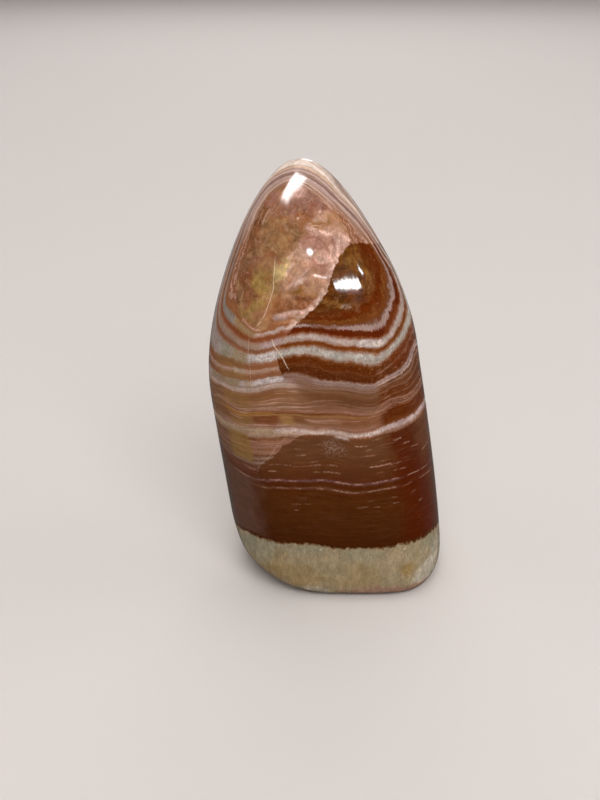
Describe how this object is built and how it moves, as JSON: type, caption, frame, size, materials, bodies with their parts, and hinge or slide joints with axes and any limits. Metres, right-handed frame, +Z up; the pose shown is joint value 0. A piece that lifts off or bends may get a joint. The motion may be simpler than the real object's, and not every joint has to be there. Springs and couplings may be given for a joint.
{
  "type": "banded aragonite",
  "caption": "Tall polished free-form of banded brown aragonite with a pale crystalline base layer, standing on a small flat ground.",
  "frame": {"origin": "on the surface the stone stands on, under the middle of its bounding box", "axes": "+Z up through the tip, -Y towards the broad front face, +X to the right of someone facing that face"},
  "size_m": [0.0622, 0.045, 0.11],
  "materials": {
    "polished_aragonite": "high polish over brown, rust, lilac-white and tan growth bands, with a pale cream crystalline base layer"
  },
  "bodies": {
    "root": {"aragonite_stone": "polished_aragonite"}
  },
  "joints": []
}
